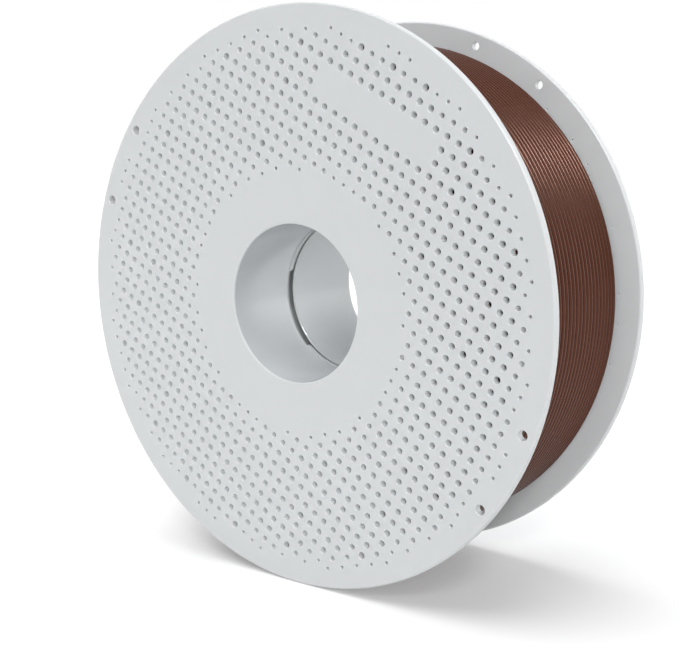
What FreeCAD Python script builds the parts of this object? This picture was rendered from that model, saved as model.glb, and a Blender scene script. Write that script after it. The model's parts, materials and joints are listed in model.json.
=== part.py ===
"""Refillable filament spool: two moulded halves that twist together round a refill.

The spool's axis lies along Y and its middle is the origin. The front half is at -Y, +Z is up.
Angles round the axis are counted from +X towards +Z. All sizes are in millimetres and degrees.
"""
import FreeCAD, Part
import math
import os
import Sketcher
from FreeCAD import Placement, Rotation, Vector

FRONT = -1
REAR = 1
Y_AXIS = Vector(0, 1, 0)

# Driving sizes, as name, value and what it measures
SIZES = [
    ("flange_dia", 200.0, "flange across its rim"),
    ("spool_width", 67.0, "over both flanges"),
    ("panel_thick", 2.4, "perforated panel of a flange"),
    ("rim_thick", 3.0, "flange at its rim"),
    ("rim_band", 1.9, "radial width of the thicker rim"),
    ("rim_bevel", 0.75, "broken edge of the rim"),
    ("bore_dia", 54.8, "spindle bore through both halves"),
    ("bore_bevel", 0.6, "broken edge of the bore's mouth"),
    ("tube_wall", 2.0, "bore tube and locking sleeve"),
    ("seam_gap", 1.0, "open gap between the two bore tubes"),
    ("seam_shift", 1.5, "from mid width to the seam, towards the front"),
    ("relief_depth", 1.4, "how far the front tube's end opens outwards"),
    ("relief_length", 4.0, "the opened end of the front tube along the axis"),
    ("tab_span", 60.0, "angle of a tab that stands in the opened end"),
    ("tab_inset", 0.1, "a tab's face, back from the bore's wall"),
    ("hub_dia", 93.0, "hub that carries the refill"),
    ("hub_wall", 2.4, "wall of the hub"),
    ("hub_gap", 0.6, "between the two half hubs"),
    ("lug_height", 2.0, "radial height of a bayonet lug"),
    ("lug_thick", 3.0, "a bayonet lug along the axis"),
    ("lug_span", 54.0, "angle that one lug covers"),
    ("lug_play", 0.5, "along the axis, between locked lugs"),
    ("lug_first", 16.0, "angle of the first front lug's middle"),
    ("lock_turn", 60.0, "twist from open to locked"),
    ("stop_span", 4.0, "angle that a lug's stop covers"),
    ("slip", 0.4, "radial clearance between tube and sleeve"),
    ("sleeve_reach", 12.0, "locking sleeve past mid width"),
    ("rib_thick", 1.6, "web between tube and hub"),
    ("rib_inset", 2.0, "a web's end, short of what stands before it"),
    ("core_wall", 2.0, "tube that the filament is wound on"),
    ("core_slip", 0.5, "radial clearance between hub and refill"),
    ("core_play", 0.3, "between the refill's end and a panel"),
    ("wound_dia", 183.0, "over the wound filament"),
    ("wound_gap", 1.6, "between the wound filament and a panel"),
    ("strand_dia", 1.75, "filament"),
    ("wind_pitch", 2.54, "from one turn of the outer layer to the next"),
    ("hole_pitch", 4.64, "square lattice of the perforation"),
    ("lattice_turn", -28.6, "angle of the lattice's first axis"),
    ("hole_dia", 2.45, "full hole of the perforation"),
    ("small_share", 0.74, "smaller hole near the edges of the band, against a full one"),
    ("full_from_hub", 6.5, "from the hub to where full holes begin"),
    ("full_to_rim", 14.0, "from where full holes end to the rim"),
    ("edge_band", 3.8, "band of smaller holes on each side of the full ones"),
    ("clip_dia", 3.4, "hole near the rim that takes the filament's end"),
    ("clip_inset", 4.5, "from a clip hole's axis to the rim"),
    ("clip_spread", 18.0, "angle between the two clip holes of a pair"),
]

# The lattice has a hole at every node. This model cuts one row and column in HOLE_STEP
HOLE_STEP = 2
# A plain place in the front lattice: columns to each side of the middle, and two rows
PLAIN_COLUMNS = 5
PLAIN_ROWS = (15, 16)
LUGS = 3
RIBS = 6
STRAND_SIDES = 3
LEAST_TURN_GAP = 0.4
# How far an added feature runs into its neighbour, so that the two become one solid
BITE = 0.2


class Length:
    """A number, with the spreadsheet formula that gives it."""

    def __init__(self, value, formula):
        self.value = value
        self.formula = formula

    def _join(self, sign, other, value):
        text = other.formula if isinstance(other, Length) else repr(other)
        return Length(value, "(%s %s %s)" % (self.formula, sign, text))

    def __add__(self, other):
        return self._join("+", other, self.value + number(other))

    def __sub__(self, other):
        return self._join("-", other, self.value - number(other))

    def __mul__(self, other):
        return self._join("*", other, self.value * number(other))

    def __truediv__(self, other):
        return self._join("/", other, self.value / number(other))


def number(item):
    """The plain number of a Length or of a number."""
    return item.value if isinstance(item, Length) else item


def make_sheet(doc):
    """Write the driving sizes to a spreadsheet and give each one back as a Length."""
    sheet = doc.addObject("Spreadsheet::Sheet", "Sizes")
    named = {}
    for row, (name, value, note) in enumerate(SIZES, start=1):
        sheet.set("A%d" % row, name)
        sheet.set("B%d" % row, str(value))
        sheet.setAlias("B%d" % row, name)
        sheet.set("C%d" % row, note)
        named[name] = Length(value, "Sizes.%s" % name)
    doc.recompute()
    return named


def origin_plane(body, role):
    """One of a body's own origin planes."""
    return [item for item in body.Origin.OriginFeatures if item.Role == role][0]


def outline(body, name, points, turn=0.0):
    """A closed sketch of straight lines on the plane of radius (X) and axis (Y), turned about Y."""
    sketch = body.newObject("Sketcher::SketchObject", name)
    sketch.AttachmentSupport = [(origin_plane(body, "XY_Plane"), "")]
    sketch.MapMode = "FlatFace"
    sketch.AttachmentOffset = Placement(Vector(), Rotation(Y_AXIS, -number(turn)))
    if isinstance(turn, Length):
        sketch.setExpression("AttachmentOffset.Rotation.Angle", (turn * -1.0).formula)
    corners = [Vector(number(radius), number(along), 0) for radius, along in points]
    count = len(corners)
    for index in range(count):
        sketch.addGeometry(Part.LineSegment(corners[index], corners[(index + 1) % count]), False)
    for index in range(count):
        following = (index + 1) % count
        sketch.addConstraint(Sketcher.Constraint("Coincident", index, 2, following, 1))
    for index, (radius, along) in enumerate(points):
        for kind, length in (("DistanceX", radius), ("DistanceY", along)):
            place = sketch.addConstraint(Sketcher.Constraint(kind, index, 1, number(length)))
            if isinstance(length, Length):
                sketch.setExpression("Constraints[%d]" % place, length.formula)
    return sketch


def turned_body(doc, name, points):
    """A body turned about the spool's axis from its half section."""
    body = doc.addObject("PartDesign::Body", name)
    sketch = outline(body, name + "_section", points)
    turned = body.newObject("PartDesign::Revolution", name + "_turned")
    turned.Profile = sketch
    turned.ReferenceAxis = (sketch, ["V_Axis"])
    turned.Angle = 360.0
    sketch.Visibility = False
    doc.recompute()
    return body


def pattern_round(body, name, feature, sketch, copies):
    """Repeat a feature evenly round the spool's axis."""
    pattern = body.newObject("PartDesign::PolarPattern", name)
    pattern.Originals = [feature]
    pattern.Axis = (sketch, ["V_Axis"])
    pattern.Angle = 360.0
    pattern.Occurrences = copies
    body.Tip = pattern
    body.Document.recompute()


def add_sectors(body, name, radii, span_y, middle, angle, copies):
    """Ring pieces of a given angle, each centred on its own middle, spaced evenly."""
    (inner, outer), (low, high) = radii, span_y
    corners = [(inner, low), (outer, low), (outer, high), (inner, high)]
    sketch = outline(body, name + "_section", corners, turn=middle)
    piece = body.newObject("PartDesign::Revolution", name)
    piece.Profile = sketch
    piece.ReferenceAxis = (sketch, ["V_Axis"])
    piece.Midplane = True
    piece.Angle = number(angle)
    piece.setExpression("Angle", angle.formula)
    body.Document.recompute()
    pattern_round(body, name + "_pattern", piece, sketch, copies)


def add_ribs(body, name, radii, span_y, thickness, copies):
    """Flat radial webs, spaced evenly."""
    (inner, outer), (low, high) = radii, span_y
    corners = [(inner, low), (outer, low), (outer, high), (inner, high)]
    sketch = outline(body, name + "_outline", corners)
    web = body.newObject("PartDesign::Pad", name)
    web.Profile = sketch
    web.Midplane = True
    web.Length = number(thickness)
    web.setExpression("Length", thickness.formula)
    body.Document.recompute()
    pattern_round(body, name + "_pattern", web, sketch, copies)


def half_section(size, side, tube_end, sleeve_mouth=None):
    """Half section of a spool half: flange with rim, hub, bore tube and any locking sleeve.

    tube_end holds the corners of the bore tube's end, from its outer side to its inner side.
    """
    face = size["spool_width"] / 2 * side
    panel_in = (size["spool_width"] / 2 - size["panel_thick"]) * side
    rim_in = (size["spool_width"] / 2 - size["rim_thick"]) * side
    bevel = size["rim_bevel"]
    rim = size["flange_dia"] / 2
    bore = size["bore_dia"] / 2
    hub = size["hub_dia"] / 2
    hub_in = hub - size["hub_wall"]
    hub_end = size["hub_gap"] / 2 * side
    tube = bore + size["tube_wall"]
    band = rim - size["rim_band"]
    step = size["rim_thick"] - size["panel_thick"]
    points = [
        (bore + size["bore_bevel"], face),
        (rim - bevel, face),
        (rim, face - bevel * side),
        (rim, rim_in + bevel * side),
        (rim - bevel, rim_in),
        (band, rim_in),
        (band - step, panel_in),
        (hub, panel_in),
        (hub, hub_end),
        (hub_in, hub_end),
        (hub_in, panel_in),
    ]
    if sleeve_mouth is not None:
        sleeve = sleeve_inner(size)
        sleeve_out = sleeve + size["tube_wall"]
        points += [
            (sleeve_out, panel_in),
            (sleeve_out, sleeve_mouth),
            (sleeve, sleeve_mouth),
            (sleeve, panel_in),
        ]
    points += [(tube, panel_in), *tube_end, (bore, face - size["bore_bevel"] * side)]
    return points


def sleeve_inner(size):
    """Inner radius of the locking sleeve, which clears the lugs on the tube inside it."""
    return size["bore_dia"] / 2 + size["tube_wall"] + size["lug_height"] + size["slip"]


def front_body(doc, size):
    """Front moulding: three outward lugs with stops, and tabs in the opened end of its tube."""
    seam_edge = (size["seam_shift"] + size["seam_gap"] / 2) * -1.0
    bore = size["bore_dia"] / 2
    tube = bore + size["tube_wall"]
    relief_start = seam_edge - size["relief_length"]
    tube_end = [(tube, seam_edge), (bore + size["relief_depth"], seam_edge), (bore, relief_start)]
    body = turned_body(doc, "FrontMoulding", half_section(size, FRONT, tube_end))
    add_sectors(body, "Tab", (bore + size["tab_inset"], tube - BITE), (relief_start, seam_edge),
                size["lug_first"], size["tab_span"], LUGS)
    lug_radii = (tube - BITE, tube + size["lug_height"])
    mouth = size["sleeve_reach"] * -1.0
    lug_low = mouth + size["lug_thick"] + size["lug_play"]
    lug_high = lug_low + size["lug_thick"]
    add_sectors(body, "FrontLug", lug_radii, (lug_low, lug_high),
                size["lug_first"], size["lug_span"], LUGS)
    # A stop stands half way between its lug and where the rear lug waits when the lock is open
    clear_turn = size["lock_turn"] - size["lug_span"]
    stop_middle = size["lug_first"] - size["lug_span"] / 2 - clear_turn / 2
    add_sectors(body, "LugStop", lug_radii, (mouth, lug_low + BITE),
                stop_middle, size["stop_span"], LUGS)
    panel_in = (size["spool_width"] / 2 - size["panel_thick"]) * FRONT
    hub_in = size["hub_dia"] / 2 - size["hub_wall"]
    add_ribs(body, "FrontRib", (tube - BITE, hub_in + BITE),
             (panel_in - BITE, mouth - size["rib_inset"]), size["rib_thick"], RIBS)
    return body


def rear_body(doc, size):
    """Rear moulding: a sleeve goes over the front tube and has three inward lugs at its mouth."""
    seam_edge = (size["seam_shift"] - size["seam_gap"] / 2) * -1.0
    mouth = size["sleeve_reach"] * -1.0
    bore = size["bore_dia"] / 2
    tube_end = [(bore + size["tube_wall"], seam_edge), (bore, seam_edge)]
    body = turned_body(doc, "RearMoulding", half_section(size, REAR, tube_end, mouth))
    sleeve = sleeve_inner(size)
    lug_radii = (sleeve - size["lug_height"], sleeve + BITE)
    open_middle = size["lug_first"] + size["lock_turn"]
    add_sectors(body, "RearLug", lug_radii, (mouth, mouth + size["lug_thick"]),
                open_middle, size["lug_span"], LUGS)
    panel_in = (size["spool_width"] / 2 - size["panel_thick"]) * REAR
    hub_in = size["hub_dia"] / 2 - size["hub_wall"]
    add_ribs(body, "RearRib", (sleeve + size["tube_wall"] - BITE, hub_in + BITE),
             (size["hub_gap"] / 2 + size["rib_inset"], panel_in + BITE), size["rib_thick"], RIBS)
    return body


def hole_width(size, radius):
    """Side of the square hole that opens as much as the round one at this radius, or 0 for none."""
    full_from = number(size["hub_dia"]) / 2 + number(size["full_from_hub"])
    full_to = number(size["flange_dia"]) / 2 - number(size["full_to_rim"])
    edge_band = number(size["edge_band"])
    if full_from - edge_band <= radius <= full_to + edge_band:
        share = 1.0 if full_from <= radius <= full_to else number(size["small_share"])
        return number(size["hole_dia"]) * share * math.sqrt(math.pi) / 2
    return 0.0


def perforation(doc, name, size, side, plain_rows):
    """Cutters for a flange's perforation: square prisms on a square lattice turned in its plane."""
    pitch = number(size["hole_pitch"])
    turn = math.radians(number(size["lattice_turn"]))
    first = Vector(math.cos(turn), 0, math.sin(turn))
    second = Vector(-math.sin(turn), 0, math.cos(turn))
    face = number(size["spool_width"]) / 2 * side
    through = Vector(0, -side * (number(size["panel_thick"]) + 2 * BITE), 0)
    reach = int(number(size["flange_dia"]) / 2 / pitch)
    reach -= reach % HOLE_STEP
    prisms = []
    for column in range(-reach, reach + 1, HOLE_STEP):
        for row in range(-reach, reach + 1, HOLE_STEP):
            half = hole_width(size, pitch * math.hypot(column, row)) / 2
            plain = row in plain_rows and abs(column) <= PLAIN_COLUMNS
            if half == 0 or plain:
                continue
            middle = first * (pitch * column) + second * (pitch * row)
            middle.y = face + side * BITE
            corners = [middle + first * (half * across) + second * (half * up)
                       for across, up in ((-1, -1), (1, -1), (1, 1), (-1, 1), (-1, -1))]
            prisms.append(Part.Face(Part.makePolygon(corners)).extrude(through))
    cutters = doc.addObject("Part::Feature", name)
    cutters.Shape = Part.makeCompound(prisms)
    return cutters


def clip_holes(doc, name, size, side, axis_angle):
    """Two pairs of round holes near the rim, opposite each other across the axis."""
    holes = []
    face = size["spool_width"] / 2 * side
    radius = size["flange_dia"] / 2 - size["clip_inset"]
    for opposite, tilt in ((0, -1), (0, 1), (180, -1), (180, 1)):
        angle = axis_angle + size["clip_spread"] / 2 * tilt + opposite
        hole = doc.addObject("Part::Cylinder", name)
        hole.setExpression("Radius", (size["clip_dia"] / 2).formula)
        hole.setExpression("Height", (size["rim_thick"] + 2 * BITE).formula)
        # The cylinder's own axis turns from Z to the inward direction along Y
        hole.Placement = Placement(Vector(), Rotation(Vector(1, 0, 0), 90 * side))
        hole.setExpression("Placement.Base.x", "%s * cos(%s)" % (radius.formula, angle.formula))
        hole.setExpression("Placement.Base.y", (face + BITE * side).formula)
        hole.setExpression("Placement.Base.z", "%s * sin(%s)" % (radius.formula, angle.formula))
        holes.append(hole)
    return holes


def drilled_half(doc, label, body, size, side, plain_rows, clip_angle):
    """A moulding with its perforation and clip holes cut through."""
    cutters = doc.addObject("Part::Compound", body.Name + "Holes")
    cutters.Links = [perforation(doc, body.Name + "Perforation", size, side, plain_rows)]
    cutters.Links += clip_holes(doc, body.Name + "Clip", size, side, clip_angle)
    half = doc.addObject("Part::Cut", body.Name + "Drilled")
    half.Base = body
    half.Tool = cutters
    half.Label = label
    return half


def refill_tube(doc, size):
    """The plain tube that the filament is wound on."""
    inner = size["hub_dia"] / 2 + size["core_slip"]
    outer = inner + size["core_wall"]
    half = size["spool_width"] / 2 - size["panel_thick"] - size["core_play"]
    body = turned_body(doc, "RefillTube", [(inner, half * -1.0), (outer, half * -1.0),
                                           (outer, half), (inner, half)])
    body.Label = "refill_core"
    return body


def wound_half(size):
    """Half the width of the wound filament, which stays clear of both panels."""
    return size["spool_width"] / 2 - size["panel_thick"] - size["wound_gap"]


def filament_pack(doc, size):
    """The layers under the outer one, as one plain ring on the refill's tube."""
    inner = size["hub_dia"] / 2 + size["core_slip"] + size["core_wall"]
    outer = size["wound_dia"] / 2 - size["strand_dia"]
    half = wound_half(size)
    body = turned_body(doc, "FilamentPack", [(inner, half * -1.0), (outer, half * -1.0),
                                             (outer, half), (inner, half)])
    body.Label = "filament_pack"
    return body


def arc_from(start, tangent, end):
    """The arc from start to end that leaves start along tangent."""
    chord = end - start
    turn = math.acos(chord.dot(tangent) / chord.Length)
    radius = chord.Length / (2 * math.sin(turn))
    inward = chord - tangent * chord.dot(tangent)
    inward.normalize()
    centre = start + inward * radius
    middle = (start - centre) + (end - centre)
    middle.normalize()
    return Part.Arc(start, centre + middle * radius, end).toShape()


def biarc(start, start_tangent, end, end_tangent):
    """Two arcs that join smoothly from one point and tangent to the next."""
    chord = end - start
    both = start_tangent + end_tangent
    square = 2 * (start_tangent.dot(end_tangent) - 1)
    linear = -2 * chord.dot(both)
    reach = (-linear - math.sqrt(linear ** 2 - 4 * square * chord.dot(chord))) / (2 * square)
    near = start + start_tangent * reach
    far = end - end_tangent * reach
    joint = (near + far) * 0.5
    along = far - near
    along.normalize()
    return [arc_from(start, start_tangent, joint), arc_from(joint, along, end)]


def helix_point(radius, pitch, angle):
    """A point of the winding's centre line and the direction there, for an angle in radians."""
    rise = pitch / (2 * math.pi)
    point = Vector(radius * math.cos(angle), rise * angle, -radius * math.sin(angle))
    tangent = Vector(-radius * math.sin(angle), rise, -radius * math.cos(angle))
    tangent.normalize()
    return point, tangent


def least_gap(radius, pitch, half_turns, width):
    """The least clear distance between a turn and the next, measured on points of the centre line."""
    per_turn = 72
    last = half_turns * per_turn // 2
    points = [helix_point(radius, pitch, 2 * math.pi * (step / per_turn - half_turns / 4.0))[0]
              for step in range(last + 1)]
    half = per_turn // 2
    distances = [points[step].distanceToPoint(points[other])
                 for step in range(last + 1)
                 for other in range(step + half, min(step + 3 * half, last) + 1)]
    return min(distances) - width


def filament_outer_layer(doc, size):
    """The outer layer of turns: one unbroken tube, three sided so that its turns stay light."""
    strand = number(size["strand_dia"])
    pitch = number(size["wind_pitch"])
    corner = strand / (2 * math.sin(math.pi / STRAND_SIDES))
    radius = number(size["wound_dia"]) / 2 - corner
    half_turns = int((2 * number(wound_half(size)) - strand) / (pitch / 2))
    stations = [helix_point(radius, pitch, math.pi * (step - half_turns / 2.0))
                for step in range(half_turns + 1)]
    first, first_tangent = stations[0]
    last, last_tangent = stations[-1]
    lead_in = first - first_tangent * strand
    edges = [Part.LineSegment(lead_in, first).toShape()]
    for (start, start_tangent), (end, end_tangent) in zip(stations, stations[1:]):
        edges += biarc(start, start_tangent, end, end_tangent)
    edges.append(Part.LineSegment(last, last + last_tangent * strand).toShape())

    outward = Vector(first.x, 0, first.z)
    outward.normalize()
    # The section turns slowly against the radius along the helix, half of it to each side
    drift = math.pi * half_turns * pitch / (2 * math.pi * radius) / 2
    sideways = first_tangent.cross(outward)
    ring = []
    for side in range(STRAND_SIDES + 1):
        angle = 2 * math.pi * side / STRAND_SIDES + drift
        ring.append(lead_in + (outward * math.cos(angle) + sideways * math.sin(angle)) * corner)
    sweep = Part.BRepOffsetAPI.MakePipeShell(Part.Wire(edges))
    sweep.add(Part.makePolygon(ring))
    sweep.build()
    sweep.makeSolid()

    gap = least_gap(radius, pitch, half_turns, strand)
    print("outer layer: %.1f turns, least gap to itself %.2f mm" % (half_turns / 2.0, gap))
    if gap <= LEAST_TURN_GAP:
        raise ValueError("turns of the outer layer are too close")
    layer = doc.addObject("Part::Feature", "OuterLayer")
    layer.Shape = sweep.shape()
    layer.Label = "filament_outer_layer"
    return layer


def export(doc, parts):
    """Check every object and every sub-part, then write one file for each sub-part."""
    doc.recompute()
    for item in doc.Objects:
        if "Invalid" in item.State or "Error" in item.State:
            raise RuntimeError("%s did not compute: %s" % (item.Name, item.State))
    for part in parts:
        if part.Shape.isNull() or not part.Shape.isValid():
            raise RuntimeError("%s has no valid shape" % part.Label)
        if len(part.Shape.Solids) != 1:
            raise RuntimeError("%s has %d solids" % (part.Label, len(part.Shape.Solids)))
    os.makedirs("parts", exist_ok=True)
    for part in parts:
        part.Shape.exportStep("parts/%s.step" % part.Label)
        print("%s: %.2f cm3" % (part.Label, part.Shape.Volume / 1000))


def main():
    doc = FreeCAD.newDocument("FilamentSpool")
    size = make_sheet(doc)
    lattice = size["lattice_turn"]
    parts = [
        drilled_half(doc, "front_half", front_body(doc, size), size, FRONT, PLAIN_ROWS, lattice),
        drilled_half(doc, "rear_half", rear_body(doc, size), size, REAR, (), lattice + 90),
        refill_tube(doc, size),
        filament_pack(doc, size),
        filament_outer_layer(doc, size),
    ]
    export(doc, parts)


main()
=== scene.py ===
"""Refillable filament spool, laid out as an add-on.

Two moulded halves with finely perforated flanges hold a refill of brown filament. The spool's axis
lies along Y with the front flange at -Y. Angles round the axis are counted from +X towards +Z.
"""

import json
import math
import random

import bmesh
import bpy
import numpy as np
from bpy.props import (FloatProperty, FloatVectorProperty, IntProperty, PointerProperty,
                       StringProperty)
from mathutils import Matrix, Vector
from mathutils.geometry import delaunay_2d_cdt


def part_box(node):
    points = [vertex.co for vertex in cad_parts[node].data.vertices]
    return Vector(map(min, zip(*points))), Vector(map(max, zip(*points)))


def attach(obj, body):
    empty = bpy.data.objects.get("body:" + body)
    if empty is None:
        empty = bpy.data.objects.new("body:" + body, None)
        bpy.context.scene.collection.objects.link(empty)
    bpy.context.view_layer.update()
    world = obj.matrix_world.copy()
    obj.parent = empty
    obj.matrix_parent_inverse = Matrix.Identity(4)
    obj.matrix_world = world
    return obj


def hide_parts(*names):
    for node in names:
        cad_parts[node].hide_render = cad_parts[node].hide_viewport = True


bl_info = {
    "name": "Filament spool",
    "version": (1, 0, 0),
    "blender": (4, 5, 0),
    "location": "View3D > Sidebar > Spool",
    "description": "Builds a refillable filament spool round its packed frame",
    "category": "Object",
}

MM = 0.001
FRONT = -1
REAR = 1
FINISH_SATIN = 0
FINISH_POLISHED_SHADED = 1

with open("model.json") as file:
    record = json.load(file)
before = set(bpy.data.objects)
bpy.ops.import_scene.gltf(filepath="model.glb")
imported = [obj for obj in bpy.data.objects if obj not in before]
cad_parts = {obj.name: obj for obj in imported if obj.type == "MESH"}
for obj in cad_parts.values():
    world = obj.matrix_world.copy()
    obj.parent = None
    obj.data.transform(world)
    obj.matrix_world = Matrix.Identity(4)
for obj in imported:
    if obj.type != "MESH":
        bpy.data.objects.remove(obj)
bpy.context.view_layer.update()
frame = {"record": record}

# Sizes that the frame already fixes
_, FRONT_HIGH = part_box("front_half")
REAR_LOW, REAR_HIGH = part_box("rear_half")
_, CORE_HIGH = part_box("refill_core")
_, TURNS_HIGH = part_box("filament_outer_layer")
_, PACK_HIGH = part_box("filament_pack")
FLANGE_R = FRONT_HIGH.x
HALF_WIDTH = REAR_HIGH.y
SLEEVE_MOUTH = REAR_LOW.y
CORE_R = CORE_HIGH.x
CORE_HALF = CORE_HIGH.y
WOUND_R = TURNS_HIGH.x
WOUND_HALF = PACK_HIGH.y
FLOOR_Z = -FLANGE_R
MOUNTS = {mount["name"]: mount for mount in frame["record"]["mounts"]}
BORE_R = MOUNTS["spindle_bore"]["dims"]["r_mm"] * MM

# Lattice nodes with a larger hole, as columns and rows from the middle, either way
LARGE_NODES = {(0, 19), (3, 19), (8, 17), (8, 14), (14, 13), (14, 9), (8, 9), (14, 5), (17, 5)}
# The front flange's plain place: columns to each side of the middle, and its rows
PLAIN_COLUMNS = 5
PLAIN_ROWS = (15, 16)
# Radii between which the holes are no longer small, and between which they are full
MIDDLE_BAND = (47.0 * MM, 89.7 * MM)
FULL_BAND = (52.0 * MM, 86.5 * MM)
# Least plastic beside a clip hole, and a blind hole's floor against its mouth
HOLE_GAP = 0.5 * MM
BLIND_TAPER = 0.92

# Roundings of the mouldings: fine and soft edges, the opened end's tip, the rear tube's lip and
# the lead-in behind it, and the tabs
FINE_ROUND = 0.3 * MM
SOFT_ROUND = 0.4 * MM
TIP_ROUND = 0.15 * MM
LIP_ROUND = 0.2 * MM
LEAD_ROUND = 1.0 * MM
TAB_ROUND = 0.6 * MM
# Where a face's flat part begins, in roundings from its edge
RIM_FLAT = 1.1
MOUTH_FLAT = 1.2
# How far a piece runs into its neighbour, and how far short of the tube's outside a tab ends
BITE = 0.2 * MM
WEB_EDGE = 0.2 * MM
WEB_INSET = 2.0 * MM
# The share of a tab over which its end eases off, and how far it drops, against the opening
TAB_END = 0.05
TAB_DROP = 1.1

# Steps of the drawn rings and arcs
RING_STEPS = 240
CLIP_SIDES = 32
CORNER_STEPS = 3
LUG_STEPS = 24
TAB_STEPS = 60
CORE_STEPS = 160

# Sides of the strand in its two outer layers, steps of the under one, and steps of the pack
OUTER_SIDES = 12
UNDER_SIDES = 10
UNDER_STEPS = 120
PACK_STEPS = 144
BUMP_STEPS = 6
# From the outer layer to the pack's outside, in layers
PACK_DEPTH = 1.6
# How often a turn strays anew
STRAYS = 4
# Facets of a round strand meet at less than this, and are shaded smooth
STRAND_SHARP = 70.0

# Sizes in the finishes: a slow drift of tone, streaks along the strand, its grit, scores on the
# tube, and how far light spreads in the moulded plastic
DRIFT_MM = 60.0
STREAK_MM = 4.0
GRIT_MM = 0.25
SCORE_MM = 0.8
SPREAD_MM = 0.8


def length(name, description, default_mm):
    """A size property whose default is given in millimetres."""
    return FloatProperty(name=name, description=description, default=default_mm * MM,
                         min=0.0, unit="LENGTH", precision=5)


def degrees(name, description, default):
    """An angle property whose default is given in degrees."""
    return FloatProperty(name=name, description=description, default=math.radians(default),
                         subtype="ANGLE")


def strength(name, description, default):
    """The strength of a light."""
    return FloatProperty(name=name, description=description, default=default, min=0.0)


def direction(name, description, default):
    """A direction towards a light."""
    return FloatVectorProperty(name=name, description=description, default=default,
                               subtype="DIRECTION")


def colour(name, description, default):
    """A colour kept as an sRGB hex text."""
    return StringProperty(name=name, description=description, default=default)


class SpoolMouldingSettings(bpy.types.PropertyGroup):
    """Sizes and colours of the two moulded halves."""

    panel: length("Panel", "Thickness of the perforated panel", 2.4)
    rim: length("Rim", "Thickness of the flange at its rim", 3.0)
    rim_slope: length("Rim slope", "Radial width over which the panel thickens to the rim", 8.0)
    rim_round: length("Rim round", "Rounding of the rim's two edges", 0.7)
    mouth_round: length("Mouth round", "Rounding of the bore's mouth", 0.35)
    tube_wall: length("Tube wall", "Wall of the bore tube and of the locking sleeve", 2.0)
    hub_radius: length("Hub radius", "Outer radius of the hub", 46.5)
    hub_wall: length("Hub wall", "Wall of the hub", 2.4)
    hub_gap: length("Hub gap", "Gap between the two half hubs", 0.6)
    seam_shift: length("Seam shift", "From mid width to the bore's seam, towards the front", 1.5)
    seam_gap: length("Seam gap", "Open gap between the two bore tubes", 1.0)
    relief_depth: length("Relief depth", "How far the front tube's end opens outward", 1.4)
    relief_bend: length("Relief bend", "From the tube's end back to the bend of its opening", 2.8)
    relief_round: length("Relief round", "Rounding of that bend", 8.0)
    tab_inset: length("Tab inset", "From the bore's wall out to the face of a tab", 0.1)
    tab_width: length("Tab width", "Width of a tab along the axis", 2.0)
    lip: length("Lip", "Flat end of the rear tube, inside its lead-in", 0.7)
    lead_in: length("Lead-in", "Length of the rear tube's outer chamfer", 3.0)
    lug_height: length("Lug height", "Radial height of a bayonet lug", 2.0)
    lug_thick: length("Lug thickness", "A bayonet lug along the axis", 3.0)
    lug_play: length("Lug play", "Between locked lugs, along the axis", 0.5)
    slip: length("Slip", "Radial clearance between tube and sleeve", 0.4)
    rib_thick: length("Web", "Thickness of a web between tube and hub", 1.6)
    lug_span: degrees("Lug span", "Angle that a lug covers", 54.0)
    tab_span: degrees("Tab span", "Angle that a tab in the bore covers", 60.0)
    lug_first: degrees("First lug", "Angle of a front lug's middle", 16.0)
    lock_turn: degrees("Lock turn", "Twist from open to locked", 60.0)
    lugs: IntProperty(name="Lugs", description="Bayonet lugs on each half", default=3, min=1)
    ribs: IntProperty(name="Webs", description="Webs in each half", default=6, min=1)
    plastic: colour("Plastic", "Light grey of the mouldings", "#CCCECF")
    plastic_deep: colour("Deep tone", "Where the moulded plastic looks a little denser", "#C7C9CA")
    # The bore's polish is real; its grey, a little darker than the plastic's, is painted shade
    # inside the bore
    polished: colour("Polished", "Grey of the bore's polished wall", "#C2C5C7")


class PerforationSettings(bpy.types.PropertyGroup):
    """The square lattice of holes in each flange."""

    pitch: length("Pitch", "From one hole to the next along the lattice", 4.64)
    inner: length("Inner limit", "No hole's middle is nearer to the axis", 44.2)
    outer: length("Outer limit", "No hole's middle is further from the axis", 93.0)
    rear_outer: length("Rear limit", "The outer limit on the rear flange", 91.9)
    full_dia: length("Full hole", "Holes in the middle of the band", 2.28)
    middle_dia: length("Middle hole", "Holes near the band's edges", 1.85)
    small_dia: length("Small hole", "Holes at the band's edges", 1.2)
    large_dia: length("Large hole", "The few larger holes", 2.45)
    edge: length("Edge", "Broken edge of each hole", 0.12)
    draft: length("Draft", "How much smaller a hole's radius is at the inner face", 0.55)
    large_draft: length("Large draft", "The same for the few larger holes", 0.35)
    blind_depth: length("Blind depth", "Depth of a hole that ends in the hub's wall", 1.4)
    clip_dia: length("Clip hole", "Hole near the rim for the filament's end", 3.4)
    clip_radius: length("Clip radius", "From the axis to a clip hole", 95.5)
    clip_spread: degrees("Clip spread", "Angle between the holes of a pair", 18.0)
    clip_turn: degrees("Clip turn", "From the lattice's axis to a pair's", -0.9)
    turn: degrees("Turn", "Angle of the lattice's first axis", -28.6)
    sides: IntProperty(name="Sides", description="Sides of a drawn hole", default=18, min=8)


class WindingSettings(bpy.types.PropertyGroup):
    """The wound filament."""

    strand: length("Strand", "Diameter of the filament", 1.75)
    pitch: length("Pitch", "From one turn of the outer layer to the next", 2.54)
    layer: length("Layer", "Radial distance between two layers", 1.5)
    wander: length("Wander", "How far a turn strays along the axis", 0.09)
    core_wall: length("Core wall", "Wall of the refill's tube", 2.0)
    steps: IntProperty(name="Steps", description="Steps in one turn", default=180, min=24)
    seed: IntProperty(name="Seed", description="Seed for the turns' wander", default=7)
    filament: colour("Filament", "Brown of the strand", "#432317")
    filament_pale: colour("Pale tone", "Paler streaks along the strand", "#4B291D")
    core: colour("Core", "Colour of the refill's tube", "#5E5B58")


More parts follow.
